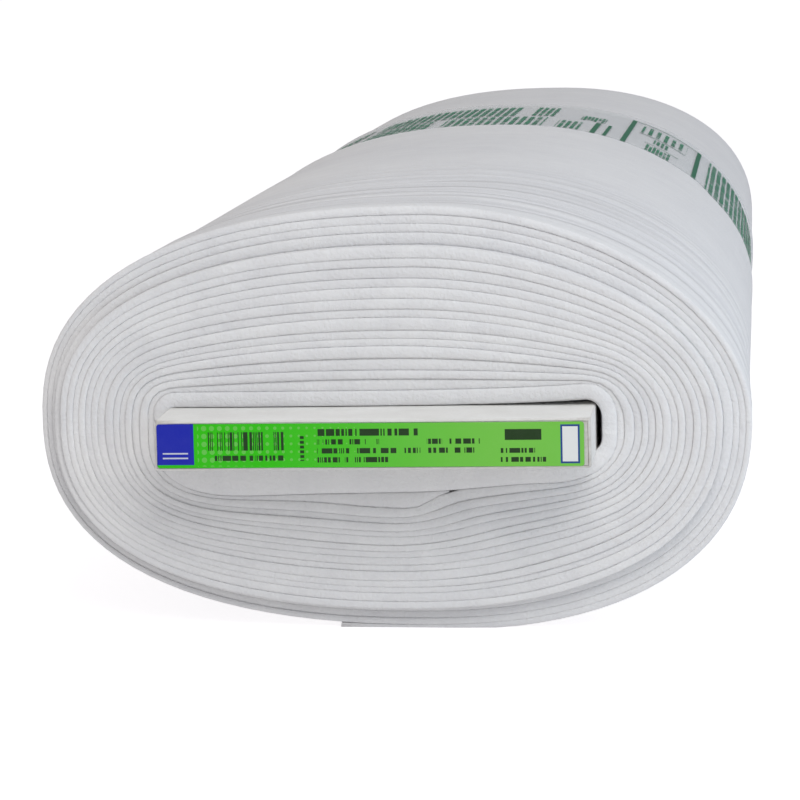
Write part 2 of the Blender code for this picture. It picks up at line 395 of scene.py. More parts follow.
ink = join_masks(tree, [
    times(tree, bars, print_patch(tree, spot, BAR_PART)),
    times(tree, print_patch(tree, spot, TICK_PART), in_tick),
    *(print_rows(tree, spot, row, 0.72, 11.0 + i) for i, row in enumerate(LABEL_ROWS)),
    print_patch(tree, spot, DARK_BLOCK),
])
colour = blend_colours(tree, times(tree, ink, 0.97), colour, LABEL_INK)
colour = blend_colours(tree, print_patch(tree, spot, BOX_OUTSIDE), colour, LABEL_BOX_INK)
colour = blend_colours(tree, print_patch(tree, spot, BOX_INSIDE), colour, LABEL_WHITE)
soiled = blend_colours(tree, times(tree, fibres["Shade"], LABEL_SOILED), colour, CARD_SHADE)
tree.links.new(soiled, surface.inputs["Base Color"])
raise_grain(tree, surface, fibres["Grain"], 0.06, 0.0003)
surface.inputs["Specular IOR Level"].default_value = 0.15
for material_place in label.material_slots:
    material_place.material = label_finish

# The fleece: one long sheet of soft white wadding, wound clockwise round the board in
# eighteen turns. Its inner end is a free tip below the board, its outer end lies loose
# underneath, and the turns differ in loft and stand a little in or out of the end face.
FLEECE_WIDTH = 1.143
FRONT_FACE = -FLEECE_WIDTH / 2
TURNS = 18
STEPS_A_TURN = 96
TURN_THICKNESS = 0.0029
CENTRE_X = 0.012
CENTRE_Z = 0.102
REACH_LEFT = 0.1850
REACH_RIGHT = 0.1555
REACH_UP = 0.102
REACH_DOWN = 0.1022
FULLNESS_LOWER_LEFT = 2.4
FULLNESS_UPPER_LEFT = 2.35
FULLNESS_LOWER_RIGHT = 2.36
FULLNESS_UPPER_RIGHT_FRONT = 1.9
FULLNESS_UPPER_RIGHT_BACK = 2.2
LOOSE_END_ANGLE = math.radians(-99.375)
SLOT_GAP = 0.0002
SLOT_GAP_LEFT = 0.0004
SLOT_GAP_RIGHT = 0.0030
SLOT_LIFT_RIGHT = 0.0030
SLOT_LIFT_BEND = 5
SLOT_CORNER = 0.003
SLOT_CORNER_RIGHT = 0.008
SIDE_SHARE = 1 / 6
CORNER_SHARE = 1 / 6

# How far the cloth lies inside the full oval along the roll: the place behind the front
# end, and the inset there.
WAIST = (
    (0.000, 0.0000),
    (0.040, 0.0000),
    (0.110, 0.0012),
    (0.260, 0.0010),
    (0.430, 0.0004),
    (0.600, 0.0002),
    (0.905, 0.0000),
    (1.000, 0.0004),
    (1.090, 0.0000),
    (1.160, 0.0000),
)

# The turns from the inside out: the loft of each against the even one where it passes the
# left end, the top, the right end and the bottom of the oval, and how far it stands back.
TURN_TABLE = (
    (1.10, 1.30, 0.90, 1.40, 0.00030),
    (1.25, 0.85, 1.30, 0.95, -0.00036),
    (1.25, 1.15, 1.05, 1.10, 0.00024),
    (0.95, 1.12, 0.90, 0.85, -0.00030),
    (0.95, 0.78, 0.90, 1.30, 0.00036),
    (1.00, 0.78, 0.95, 0.85, 0.0),
    (1.25, 1.30, 1.20, 0.90, -0.00042),
    (1.15, 0.75, 0.85, 1.10, 0.00030),
    (1.05, 1.05, 0.90, 0.90, -0.00012),
    (0.95, 1.05, 1.10, 1.35, 0.00024),
    (0.95, 0.90, 0.95, 0.85, -0.00036),
    (0.95, 1.05, 0.85, 0.85, 0.00024),
    (0.95, 0.88, 1.15, 1.30, -0.00018),
    (1.00, 1.12, 0.95, 0.95, 0.00018),
    (1.00, 1.12, 1.30, 0.85, -0.00030),
    (0.80, 0.90, 0.85, 1.00, 0.0),
    (0.80, 0.90, 0.85, 0.90, 0.00024),
    (0.80, 0.85, 0.85, 0.90, 0.0),
)
STAND_BACK_COLUMN = 4
TURN_CHANGE = 0.1

# Where in its turn the cloth passes the left end, the top, the right end and the bottom.
AT_LEFT = 0.224
AT_TOP = 0.474
AT_RIGHT = 0.724
AT_BELOW = 0.974
PASSES = (AT_LEFT, AT_TOP, AT_RIGHT, AT_BELOW)

# Below the board a first wrap of the cloth sags, and the tip of the main length lies on
# it: the place from left to right, how deep the wrap reaches there, and how far the next
# turn stands off it over the tip.
SAG = (
    (-0.1165, 0.0072, 0.0030),
    (-0.1050, 0.0130, 0.0030),
    (-0.0990, 0.0162, 0.0028),
    (-0.0830, 0.0192, 0.0022),
    (-0.0385, 0.0186, 0.0040),
    (-0.0070, 0.0182, 0.0076),
    (0.0060, 0.0180, 0.0088),
    (0.0130, 0.0178, 0.0052),
    (0.0230, 0.0174, 0.0014),
    (0.0400, 0.0160, 0.0007),
    (0.0600, 0.0144, 0.0006),
    (0.0800, 0.0134, 0.0005),
    (0.0960, 0.0092, 0.0004),
    (0.1060, 0.0072, 0.0004),
)
WRAP_THICKNESS = 0.0072
UNDERSIDE_FROM = 0.30
UNDERSIDE_FADE = 0.25
GROUND_STEPS = 720
GROUND_STEP = math.tau / GROUND_STEPS
SOFTENING_LEAST = math.radians(3)
SOFTENING = math.radians(16)
SHOULDER_DEPTH = 0.009
SHOULDER_START = 14.05
SHOULDER_RUN = 0.45
TIP_RUN = -0.0800
TIP_RISE = 0.0035
SETTLED_RUN = 1.2
LAST_TURN = TURNS - 1 - 0.03
FINE_CUT_FROM = TURNS - 1 - 0.02

# The lines between the turns on the end face: how open they are, how much every other one
# closes where the turns lie packed below, and how much they all close in the outer turns.
LINE_OPEN = 0.34
LINE_LEAST = 0.05
PACKED_CLOSES = 0.75
OUTER_CLOSES = 0.75
OUTER_FROM = 13.6
OUTER_RUN = 2
GAP_FROM = 0.62
GAP_LEAST = 0.00001
GAP_SPREAD = 0.00006

# The rounded rim of the cloth, in thicknesses: how far each row lies behind the edge and
# how thick the cloth is there. The last turn is rounded more.
RIM = (
    (0.00, 0.945),
    (0.018, 0.970),
    (0.042, 0.987),
    (0.080, 0.997),
    (0.140, 1.00),
    (7.00, 1.00),
)
RIM_CROWN = 0.11
RIM_EDGE = 0.16
OUTER_ROUNDING = 9.0
OUTER_DEEPER = 2.2
FINE_FROM = 0.030

# Slow drifts along the cloth and the film: the pace, the seed and the size of each.
DRIFTS = dict(
    line=((0.9, 13.0, 1.10), (4.0, 17.0, 0.60)),
    loft=((1.0, 9.0, 0.0045), (3.3, 21.0, 0.0022)),
    edge=((1.0, 4.0, 0.0006),),
    wrap_edge=((1.0, 2.0, 0.0008),),
    film=((3.0, 31.0, 0.0020), (11.0, 33.0, 0.0008)),
    film_curl=((14.0, 41.0, 0.9),),
)

# Soft creases round the outside, one row each: how far behind the front end it lies at
# the left, the top and the right, how deep and how wide it is, and where it fades.
CREASES = (
    (0.102, 0.114, 0.150, 0.0020, 0.0080, 0.24, 0.76),
    (0.120, 0.182, 0.235, 0.0013, 0.0100, 0.34, 0.70),
    (0.060, 0.068, 0.082, 0.0013, 0.0075, 0.46, 0.76),
    (0.150, 0.240, 0.330, 0.0012, 0.0130, 0.38, 0.64),
    (0.036, 0.042, 0.050, 0.0008, 0.0055, 0.28, 0.60),
    (0.200, 0.300, 0.400, 0.0008, 0.0140, 0.42, 0.62),
)
CREASE_LEFT = 0.18
CREASE_FADE_IN = 0.08
CREASE_FADE_OUT = 0.10
CREASE_RIDGE = dict(height=0.5, away=1.7)

# The film's band runs a little askew round the roll: how far its edges lie from their
# mean place at each share of the last turn, and how deep they press the fleece.
BAND_FRONT = 0.060
BAND_BACK = 0.300
GROOVE = dict(depth=0.0016, outside=0.0015, slope=0.005)
LIP = dict(height=0.0007, outside=0.006, width=0.0045)
BAND_SKEW = (
    (0.000, 0.000),
    (0.200, 0.026),
    (0.400, 0.030),
    (0.520, 0.006),
    (0.640, -0.028),
    (0.800, -0.024),
    (1.000, 0.000),
)

# The outside is cut finer where the creases and the film's edges are.
CREASED_LENGTH = 0.26
CREASED_STEP = 0.0048
NEAR_FILM = 0.045
NEAR_FILM_STEP = 0.0030
PLAIN_STEP = 0.014

FLEECE_WHITE = (0.805, 0.80, 0.795)
FLEECE_SHADE = (0.71, 0.705, 0.712)
TUFTS = (330.0, 60.0, 1.0)
PLEAT_SKEW = 0.12
PLEATS_ACROSS = 27.0
PLEATS_ALONG = 1.9
# How much painted shade darkens the fleece's colour along the pleat lines near the front, as shade in
# the creases.
PLEAT_PAINTED_SHADE = 0.9
PLEAT_DEPTH = 7.0


def smooth(share):
    share = min(max(share, 0.0), 1.0)
    return share * share * (3 - 2 * share)


def soft_curve(table, column=1):
    """A smooth curve through one column of a short table: its places, values and slopes."""
    places = [row[0] for row in table]
    values = [row[column] for row in table]
    slopes = []
    for i in range(len(table)):
        low = max(i - 1, 0)
        high = min(i + 1, len(table) - 1)
        slopes.append((values[high] - values[low]) / (places[high] - places[low]))
    return places, values, slopes


def read_curve(curve, place):
    places, values, slopes = curve
    if place <= places[0]:
        return values[0]
    if place >= places[-1]:
        return values[-1]
    i = bisect_right(places, place) - 1
    run = places[i + 1] - places[i]
    share = (place - places[i]) / run
    rest = 1 - share
    ends = values[i] * (1 + 2 * share) * rest * rest + values[i + 1] * (3 - 2 * share) * share * share
    return ends + run * share * rest * (slopes[i] * rest - slopes[i + 1] * share)


waist_curve = soft_curve(WAIST)
sag_curve = soft_curve(SAG)
tip_curve = soft_curve(SAG, 2)
skew_curve = soft_curve(BAND_SKEW)


def signed_power(value, power):
    return math.copysign(abs(value) ** power, value)


def full_oval(angle, y):
    """The outside of the last turn at its end, all the way round."""
    across = math.cos(angle)
    up = math.sin(angle)
    along = min(max((y - FRONT_FACE) / FLEECE_WIDTH, 0), 1)
    if across < 0:
        fullness = FULLNESS_UPPER_LEFT if up > 0 else FULLNESS_LOWER_LEFT
    elif up < 0:
        fullness = FULLNESS_LOWER_RIGHT
    else:
        change = FULLNESS_UPPER_RIGHT_BACK - FULLNESS_UPPER_RIGHT_FRONT
        fullness = FULLNESS_UPPER_RIGHT_FRONT + change * along
    inset = read_curve(waist_curve, y - FRONT_FACE)
    reach_across = (REACH_LEFT if across < 0 else REACH_RIGHT) + TURN_THICKNESS / 2 - inset
    reach_up = (REACH_DOWN if up < 0 else REACH_UP) + TURN_THICKNESS / 2 - inset
    x = CENTRE_X + reach_across * signed_power(across, 2 / fullness)
    z = CENTRE_Z + reach_up * signed_power(up, 2 / fullness)
    return Vector((x, 0, z))


def slot_outline(angle, grown=0.0, opened=1.0, lifted=1.0):
    """A rounded rectangle round the board; opened and lifted say how far it stands off."""
    across = 1 if math.cos(angle) > 0 else -1
    up = 1 if math.sin(angle) > 0 else -1
    share = math.atan2(abs(math.sin(angle)), abs(math.cos(angle))) / (math.pi / 2)
    corner = grown + (SLOT_CORNER_RIGHT * opened if across > 0 else SLOT_CORNER)
    gap = SLOT_GAP + (SLOT_GAP_RIGHT - SLOT_GAP) * opened if across > 0 else SLOT_GAP_LEFT
    half_width = BOARD_WIDTH / 2 + gap + grown
    half_height = BOARD_THICKNESS / 2 + SLOT_GAP + grown
    if share < SIDE_SHARE:
        x = half_width
        z = (half_height - corner) * share / SIDE_SHARE
    elif share < SIDE_SHARE + CORNER_SHARE:
        bend = (share - SIDE_SHARE) / CORNER_SHARE * math.pi / 2
        x = half_width - corner + corner * math.cos(bend)
        z = half_height - corner + corner * math.sin(bend)
    else:
        left = (1 - share) / (1 - SIDE_SHARE - CORNER_SHARE)
        x = (half_width - corner) * left
        z = half_height
    x, z = tilted(BOARD_X + across * x, BOARD_Z + up * z)
    lift = max((x - BOARD_X + BOARD_WIDTH / 2) / BOARD_WIDTH, 0) ** SLOT_LIFT_BEND
    if up > 0:
        z += lifted * SLOT_LIFT_RIGHT * lift * min((z - BOARD_Z) / half_height, 1)
    return Vector((x, 0, z))


def turn_share(angle):
    """Where an angle lies in its turn: 0 at the loose end, growing clockwise."""
    return ((LOOSE_END_ANGLE - angle) / math.tau) % 1


def wrap_outline(angle):
    """The outside of the first wrap, which sags below the board."""
    place = slot_outline(angle, WRAP_THICKNESS)
    if math.sin(angle) < 0:
        place.z -= read_curve(sag_curve, place.x) - WRAP_THICKNESS
    return place


def ground_outline(angle):
    """What the main length starts to lie on, with the step over its own tip."""
    place = wrap_outline(angle)
    outward = full_oval(angle, FRONT_FACE) - place
    extra = (1 - turn_share(angle)) * outward.length / TURNS
    below = smooth((-math.sin(angle) - UNDERSIDE_FROM) / UNDERSIDE_FADE)
    if below > 0:
        extra += (read_curve(tip_curve, place.x) - extra) * below
    return place + outward.normalized() * extra


def sum_ground():
    """Running sums of the ground's points round three turns, to average it quickly."""
    points = [ground_outline((i % GROUND_STEPS) * GROUND_STEP) for i in range(3 * GROUND_STEPS)]
    sums = [Vector((0, 0, 0))]
    for point in points:
        sums.append(sums[-1] + point)
    return sums


def ground_sum_at(place):
    low = math.floor(place)
    return GROUND_SUMS[low].lerp(GROUND_SUMS[low + 1], place - low)


def softened_ground(angle, out):
    """The ground averaged over an angle that grows for the turns further out."""
    reach = (SOFTENING_LEAST + SOFTENING * math.sqrt(max(out, 0.0))) / GROUND_STEP
    middle = (angle % math.tau) / GROUND_STEP + GROUND_STEPS + 0.5
    return (ground_sum_at(middle + reach) - ground_sum_at(middle - reach)) / (2 * reach)


def make_shares():
    """For each side that the turns pass: how far out each turn lies, from 0 to 1."""
    shares = []
    for column, first in enumerate(PASSES):
        lofts = [row[column] for row in TURN_TABLE]
        total = first * lofts[0] + sum(lofts[1:]) + (1 - first) * lofts[-1]
        reached = [first * lofts[0] / total]
        for loft in lofts[1:]:
            reached.append(reached[-1] + loft / total)
        shares.append(reached)
    return shares


SHARES = make_shares()


def share_at(turn, side):
    """The deviation from an even winding at one passing of one side."""
    if 0 <= turn < TURNS:
        return SHARES[side][turn] - (turn + PASSES[side]) / TURNS
    return 0.0


def outward_share(run):
    """How far out the outside of the cloth lies after so many turns, from 0 to 1."""
    turn = math.floor(run)
    last_side = len(PASSES) - 1
    stops = [(turn - 1, last_side), *((turn, side) for side in range(len(PASSES))), (turn + 1, 0)]
    for (low_turn, low), (high_turn, high) in zip(stops, stops[1:]):
        low_place = low_turn + PASSES[low]
        high_place = high_turn + PASSES[high]
        if low_place <= run <= high_place:
            blend = smooth((run - low_place) / (high_place - low_place))
            low_value = share_at(low_turn, low)
            high_value = share_at(high_turn, high)
            return run / TURNS + low_value + (high_value - low_value) * blend
    return run / TURNS


def drift(kind, run):
    """A slow random drift along the cloth, the same on each run of the script."""
    return sum(size * noise.noise(Vector((run * pace * 3.1, seed, 0.37)))
               for pace, seed, size in DRIFTS[kind])


def outermost(run):
    """1 on the last turn, whose outer edge is rounded more."""
    return smooth((run - TURNS + 1) / TURN_CHANGE + 0.5)


def groove_at(run):
    """How open the line is between a turn and the next one out, from 0 to about 1."""
    turn = math.floor(run)
    share = run - turn
    packed = smooth((math.cos((share - AT_BELOW) * math.tau) - 0.1) / 0.6)
    opened = min(max(LINE_OPEN + drift("line", run), LINE_LEAST), 1.0)
    opened *= 1 - PACKED_CLOSES * packed * ((turn + 1) % 2)
    opened *= 1 - OUTER_CLOSES * smooth((run - OUTER_FROM) / OUTER_RUN)
    outer = outermost(run)
    return opened * (1 - outer) + OUTER_ROUNDING * outer


def gap_at(run):
    """How far a turn stands off the one that it lies on."""
    return GAP_LEAST + GAP_SPREAD * max(groove_at(run - 1) - GAP_FROM, 0)


def stand_back(run):
    """How far a turn's edge lies behind the end face."""
    turn = math.floor(run)
    low = TURN_TABLE[min(max(turn, 0), TURNS - 1)][STAND_BACK_COLUMN]
    high = TURN_TABLE[min(max(turn + 1, 0), TURNS - 1)][STAND_BACK_COLUMN]
    back = low + (high - low) * smooth((run - turn - 1 + TURN_CHANGE) / TURN_CHANGE)
    shoulder = SHOULDER_DEPTH * smooth((run - SHOULDER_START) / SHOULDER_RUN)
    return back + shoulder + drift("edge", run)


GROUND_SUMS = sum_ground()


def outside_of(run, y):
    """The outer side of the main length after so many turns."""
    angle = LOOSE_END_ANGLE - math.tau * run
    share = outward_share(run) + drift("loft", run)
    if run > TURNS - SETTLED_RUN:
        share = run / TURNS + (share - run / TURNS) * smooth((TURNS - run) / SETTLED_RUN)
    ground = softened_ground(angle, share)
    oval = full_oval(angle, y)
    return ground + (oval - ground) * share, (oval - ground).normalized()


def inside_of(run, y):
    """The inner side of the main length, on the turn that it lies on."""
    if run >= 1 + TIP_RUN:
        place, way = outside_of(run - 1, y)
        return place + way * gap_at(run)
    angle = LOOSE_END_ANGLE - math.tau * run
    wrap = wrap_outline(angle)
    ground = softened_ground(angle, 0)
    way = (full_oval(angle, y) - wrap).normalized()
    rise = smooth((run - 1 - TIP_RUN + TIP_RISE) / TIP_RISE)
    return wrap + (ground - wrap) * rise + way * gap_at(run)


def crease(run, behind):
    """How far the creases draw the outside in."""
    share = (run - (TURNS - 1)) % 1
    up = smooth((share - CREASE_LEFT) / (AT_TOP - CREASE_LEFT))
    down = smooth((share - AT_TOP) / (AT_RIGHT - AT_TOP))
    drawn = 0.0
    for left, top, right, depth, width, start, end in CREASES:
        middle = left + (top - left) * up + (right - top) * down
        fade = smooth((share - start) / CREASE_FADE_IN) * smooth((end - share) / CREASE_FADE_OUT)
        away = (behind - middle) / width
        waver = 0.75 + noise.noise(Vector((share * 12, top * 90, 2.2)))
        ridge = CREASE_RIDGE["height"] * math.exp(-(away + CREASE_RIDGE["away"]) ** 2)
        drawn += depth * fade * waver * (math.exp(-away * away) - ridge)
    return drawn


def film_shift(run):
    """How far the film's band lies from its mean place along the roll."""
    share = run - (TURNS - 1)
    return read_curve(skew_curve, share) + drift("film", share)


def pressed_by_film(run, y):
    """How far the film draws the fleece in, with a soft lip beside each edge."""
    front = film_shift(run) + BAND_FRONT
    back = film_shift(run) + BAND_BACK
    inside = min(y - front, back - y)
    groove = GROOVE["depth"] * smooth((inside + GROOVE["outside"]) / GROOVE["slope"])
    lip = LIP["height"] * math.exp(-((inside + LIP["outside"]) / LIP["width"]) ** 2)
    return groove - lip


def wound_place(run, station, side):
    """A point of the flat cloth after winding: side is 0 inside and 1 outside."""
    behind, turns_behind, thick, crown = station
    y = FRONT_FACE + stand_back(run) + behind
    inner = inside_of(run, y)
    outer, way = outside_of(run, y)
    across = outer - inner
    thickness = across.length
    low = (1 - thick) / 2 * groove_at(run - 1)
    high = 1 - (1 - thick) / 2 * groove_at(run)
    place = inner + across * (low + (high - low) * side)
    deeper = 1 + OUTER_DEEPER * outermost(run) * (side > 0.75)
    place.y = y + (turns_behind * deeper - crown) * thickness
    if side == 1 and run > LAST_TURN and thick == 1:
        place -= way * (crease(run, y - FRONT_FACE) + pressed_by_film(run, y))
    place.z = max(place.z, 0.0)
    return place


def outer_stations():
    """Where the outside of the last turn is cut finer, behind the front edge."""
    places = []
    place = FINE_FROM
    while place < FLEECE_WIDTH - FINE_FROM:
        along = FRONT_FACE + place
        near_film = min(abs(along - BAND_FRONT), abs(along - BAND_BACK))
        if place < CREASED_LENGTH:
            place += CREASED_STEP
        elif near_film < NEAR_FILM:
            place += NEAR_FILM_STEP
        else:
            place += PLAIN_STEP
        places.append(place)
    return places[:-1]


STATIONS = outer_stations()


def flat_sheet(steps, rows):
    """A flat sheet with two sides: x and y run from -1 to 1, z is 0 inside and 1 outside."""
    sheet = bmesh.new()
    bmesh.ops.create_grid(sheet, x_segments=steps, y_segments=rows, size=1)
    upper = bmesh.ops.extrude_face_region(sheet, geom=sheet.faces[:])["geom"]
    for part in upper:
        if isinstance(part, bmesh.types.BMVert):
            part.co.z = 1
    return sheet


def keep_flat(sheet, name, flat):
    """Keep each corner's place on the flat sheet as a map of that name."""
    layer = sheet.loops.layers.uv.new(name)
    for face in sheet.faces:
        for loop in face.loops:
            loop[layer].uv = flat[loop.vert.index]
    bmesh.ops.recalc_face_normals(sheet, faces=sheet.faces)


def cut_cloth(first, last, steps, fine_from):
    """Cut the flat cloth: x is how many turns, y the row, z the side."""
    rows = 2 * len(RIM) - 1
    cloth = flat_sheet(steps, rows)
    for corner in cloth.verts:
        corner.co.x = first + (last - first) * (corner.co.x + 1) / 2
        corner.co.y = round((corner.co.y + 1) / 2 * rows)
    for level in (RIM_EDGE, 0.5, 1 - RIM_EDGE):
        cut_across(cloth, (0, 0, level), (0, 0, 1))
    fine = [
        edge for edge in cloth.edges
        if all(end.co.z > 0.99 and end.co.x > fine_from for end in edge.verts)
        and {round(end.co.y) for end in edge.verts} == {len(RIM) - 1, len(RIM)}
    ]
    if fine:
        bmesh.ops.subdivide_edges(cloth, edges=fine, cuts=len(STATIONS), use_grid_fill=True)
    cloth.verts.index_update()
    return cloth


def station_of(row, side):
    """Where a row lies: metres and thicknesses from the front, how thick, how far it bulges."""
    last = 2 * len(RIM) - 1
    if abs(row - round(row)) > 0.001:
        index = round((row - (len(RIM) - 1)) * (len(STATIONS) + 1)) - 1
        return STATIONS[index], 0.0, 1.0, 0.0
    row = round(row)
    if row in (len(RIM) - 1, len(RIM)):
        return (FINE_FROM if row < len(RIM) else FLEECE_WIDTH - FINE_FROM), 0.0, 1.0, 0.0
    crown = RIM_CROWN * 4 * side * (1 - side)
    behind, thick = RIM[min(row, last - row)]
    if row < len(RIM):
        return 0.0, behind, thick, crown
    return FLEECE_WIDTH, -behind, thick, -crown


def wind(name, cloth, placed, length_at):
    """Roll the flat cloth up and keep its flat size as the piece's own map."""
    flat = {}
    for corner in cloth.verts:
        run, row, side = corner.co
        station = station_of(row, side)
        flat[corner.index] = (station[0] + station[1] * TURN_THICKNESS, length_at(run))
        corner.co = placed(run, station, side)
    keep_flat(cloth, "flat_cloth", flat)
    return make_mesh(name, cloth)


def running_length(points):
    """The length of a line through the points, up to each of them."""
    reached = [0.0]
    for before, here in zip(points, points[1:]):
        reached.append(reached[-1] + (here - before).length)
    return reached


def cloth_length(first, last, placed, steps):
    """The real length of the wound cloth up to each of its steps."""
    middle = (FLEECE_WIDTH / 2, 0, 1.0, 0.0)
    stops = [first + (last - first) * i / steps for i in range(steps + 1)]
    return running_length([placed(run, middle, 0.5) for run in stops])


fleece_finish, tree, surface = new_finish("fleece", 0.95)
flat_place = add_node(tree, "ShaderNodeUVMap", {}, uv_map="flat_cloth").outputs[0]
fibres = use_group(tree, mottle, Place=object_place(tree), Scale=42.0)
combed = add_node(tree, "ShaderNodeMapping", {"Vector": flat_place, "Scale": TUFTS}).outputs[0]
tufts = noise_texture(tree, combed, 1.0, 3.0, Distortion=0.8)
along_cloth = noise_texture(tree, flat_place, 5.5, 1.0)
across, along = add_node(tree, "ShaderNodeSeparateXYZ", {0: flat_place}).outputs[:2]
skewed = minus(tree, across, times(tree, along, PLEAT_SKEW))
pleat_sockets = {0: times(tree, skewed, PLEATS_ACROSS), 1: times(tree, along, PLEATS_ALONG)}
pleat_spot = add_node(tree, "ShaderNodeCombineXYZ", pleat_sockets).outputs[0]
waves = noise_texture(tree, pleat_spot, 1.0, 1.5)
from_middle = calculate(tree, "ABSOLUTE", minus(tree, waves, 0.5))
lines = spread(tree, from_middle, 0.0, 0.16, 1.0, 0.0, "SMOOTHSTEP")
near_front = spread(tree, across, 0.13, 0.36, 1.0, 0.0, "SMOOTHSTEP")
off_rim = spread(tree, across, 0.010, 0.035, kind="SMOOTHSTEP")
pleats = times(tree, times(tree, near_front, off_rim), lines)
tone = plus(tree, times(tree, fibres["Shade"], 0.35), times(tree, minus(tree, along_cloth, 0.25), 1.3))
tone = plus(tree, times(tree, minus(tree, tufts, 0.5), 1.1), tone)
# Painted shade: the colour is darkened along the pleat lines, where the creases lie in shade.
tone = minus(tree, tone, times(tree, pleats, PLEAT_PAINTED_SHADE))
tree.links.new(blend_colours(tree, tone, FLEECE_SHADE, FLEECE_WHITE), surface.inputs["Base Color"])
raised = plus(tree, times(tree, tufts, 1.2), fibres["Grain"])
raised = minus(tree, raised, times(tree, pleats, PLEAT_DEPTH))
raise_grain(tree, surface, raised, 0.6, 0.0009)
surface.inputs["Sheen Weight"].default_value = 0.20
surface.inputs["Sheen Roughness"].default_value = 0.6
surface.inputs["Specular IOR Level"].default_value = 0.25

main_steps = round((TURNS - TIP_RUN) * STEPS_A_TURN)
reached = cloth_length(TIP_RUN, TURNS, wound_place, main_steps)


def main_length_at(run):
    share = (run - TIP_RUN) / (TURNS - TIP_RUN) * main_steps
    low = min(int(share), main_steps - 1)
    return reached[low] + (reached[low + 1] - reached[low]) * (share - low)


cloth = cut_cloth(TIP_RUN, TURNS, main_steps, FINE_CUT_FROM)
fleece_mesh = wind("fleece", cloth, wound_place, main_length_at)
fleece = set_object("fleece", fleece_mesh, fleece_finish)
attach(fleece, "root")
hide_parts("fleece_roll")

# The first wrap: the start of the cloth, one lofty turn straight on the board. It sags
# below, stands off the board at the right, and its two thinned ends lap at the left.
WRAP_ANGLE = math.radians(196)
WRAP_LAP = 0.085
WRAP_RUN = 1 + WRAP_LAP
WRAP_STEPS = 150
WRAP_MARGIN = 0.00012
WRAP_SHIFT = -0.0006
WRAP_ROUNDING = 0.6
WRAP_DRIFT_FROM = 40
LAP_GAP = 0.0002
LAP_THIN = 0.06
STAND_OFF_DEPTH = 0.030
LIFT_DEPTH = 0.0018
STAND_OFF_LOST = 0.9


def wrap_place(run, station, side):
    """A point of the first wrap."""
    behind, turns_behind, thick, crown = station
    angle = WRAP_ANGLE - math.tau * run
    y = FRONT_FACE + WRAP_SHIFT + drift("wrap_edge", run + WRAP_DRIFT_FROM) + behind
    near_y = y + turns_behind * WRAP_THICKNESS
    from_end = min(abs(near_y - FRONT_FACE), abs(near_y + FRONT_FACE))
    opened = 1 - STAND_OFF_LOST * smooth(from_end / STAND_OFF_DEPTH)
    lifted = 1 - STAND_OFF_LOST * smooth(from_end / LIFT_DEPTH)
    slot = slot_outline(angle, 0, opened, lifted)
    outer = wrap_outline(angle)
    inner = slot + (outer - slot).normalized() * WRAP_MARGIN
    across = outer - inner
    low = LAP_THIN + (1 - LAP_THIN) * smooth((run - 1) / WRAP_LAP) if run > 1 else 0
    high = LAP_THIN + (1 - LAP_THIN) * smooth(run / WRAP_LAP)
    if run > 1:
        low = min(low + LAP_GAP / across.length, 0.97)
    low_place = inner + across * low
    across = across * (high - low)
    thickness = across.length
    rounding = (1 - thick) / 2 * WRAP_ROUNDING
    place = low_place + across * (rounding + (1 - 2 * rounding) * side)
    place.y = y + (turns_behind - crown) * thickness
    return place


wrap_length = cloth_length(0, WRAP_RUN, wrap_place, WRAP_STEPS)[-1]


def wrap_length_at(run):
    return wrap_length * run / WRAP_RUN


cloth = cut_cloth(0, WRAP_RUN, WRAP_STEPS, math.inf)
wrap_mesh = wind("first_wrap", cloth, wrap_place, wrap_length_at)
first_wrap = set_object("first_wrap", wrap_mesh, fleece_finish)
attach(first_wrap, "root")
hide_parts("fleece_roll")

# The film: a band of thin clear plastic pulled tight round the roll, printed in green. It
# is drawn a little into the fleece, and its two ends stop short of each other below.
FILM_THICKNESS = 0.00030
FILM_OFF = 0.00025
FILM_STEPS = 300
FILM_ROWS = 60
FILM_START = 3.75 / 360
FILM_INSET = 0.0003
FILM_CLEARANCE = 0.0001
EDGE_CURL = 0.0004
EDGE_CURL_WIDTH = 0.0035
WRINKLE = 0.00045
FILM_CLEAR = (0.78, 0.79, 0.81)
FILM_TINT = (0.66, 0.72, 0.71)
FILM_GREEN = (0.006, 0.240, 0.105)
FILM_DARK_GREEN = (0.004, 0.150, 0.062)
FILM_OPEN = 0.14
FILM_INKED = 0.95
PRINT_SOFT = 0.4

# The print in millimetres: left and right across the band from its front edge, low and
# high round the roll from the top, clockwise from the front. Blocks of rows, then plain
# bars and the thin lines of a frame.
FILM_BLOCKS = (
    dict(sides=(6, 234, -430, -262), pitch=7.0, fill=0.55, dash=9.0, stroke=1.5),
    dict(sides=(14, 226, -250, -118), pitch=5.6, fill=0.60, dash=7.0, stroke=1.3),
    dict(sides=(8, 112, -110, -62), pitch=4.8, fill=0.62, dash=8.0, stroke=1.2),
    dict(sides=(124, 232, -110, -6), pitch=5.6, fill=0.60, dash=6.0, stroke=1.2),
    dict(sides=(8, 112, -54, 18), pitch=5.6, fill=0.56, dash=9.0, stroke=1.3),
    dict(sides=(26, 98, 27, 44), pitch=4.2, fill=0.60, dash=12.0, stroke=1.5),
    dict(sides=(130, 228, 4, 22), pitch=4.4, fill=0.60, dash=7.0, stroke=1.2),
    dict(sides=(130, 170, 40, 58), pitch=2.6, fill=0.70, dash=18.0, stroke=4.0),
    dict(sides=(18, 70, 92, 112), pitch=2.8, fill=0.72, dash=20.0, stroke=5.0),
    dict(sides=(96, 132, 96, 108), pitch=3.4, fill=0.66, dash=9.0, stroke=2.0),
    dict(sides=(150, 214, 84, 122), pitch=6.4, fill=0.45, dash=8.0, stroke=1.4),
    dict(sides=(6, 234, 142, 290), pitch=5.2, fill=0.66, dash=8.0, stroke=1.3),
    dict(sides=(6, 234, 300, 430), pitch=7.0, fill=0.55, dash=9.0, stroke=1.5),
)
